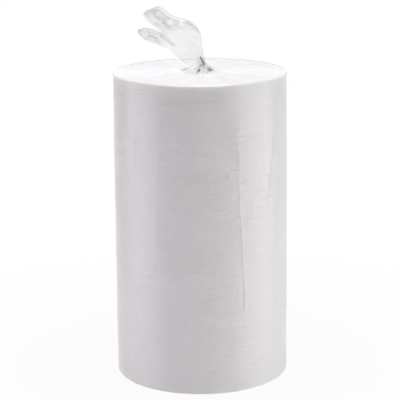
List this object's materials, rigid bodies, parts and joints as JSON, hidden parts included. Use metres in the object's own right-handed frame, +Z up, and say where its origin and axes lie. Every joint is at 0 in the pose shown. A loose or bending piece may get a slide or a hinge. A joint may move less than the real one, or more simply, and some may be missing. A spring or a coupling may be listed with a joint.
{
  "type": "absorbent roll",
  "caption": "Tall roll of white absorbent felt standing on end, packed in a snug clear film bag whose mouth is gathered over the bore, tied and left as a loose tuft.",
  "frame": {"origin": "centre of the base, on the surface that the roll stands on", "axes": "+Z up along the roll's axis, -Y towards the front that the picture shows, +X to its right"},
  "size_m": [0.429, 0.429, 0.9202],
  "materials": {
    "felt": "matt",
    "film": "gloss, clear",
    "tie": "satin"
  },
  "bodies": {
    "root": {"absorbent_roll": "felt", "film_bag": "film", "neck_tie": "tie"}
  },
  "joints": []
}
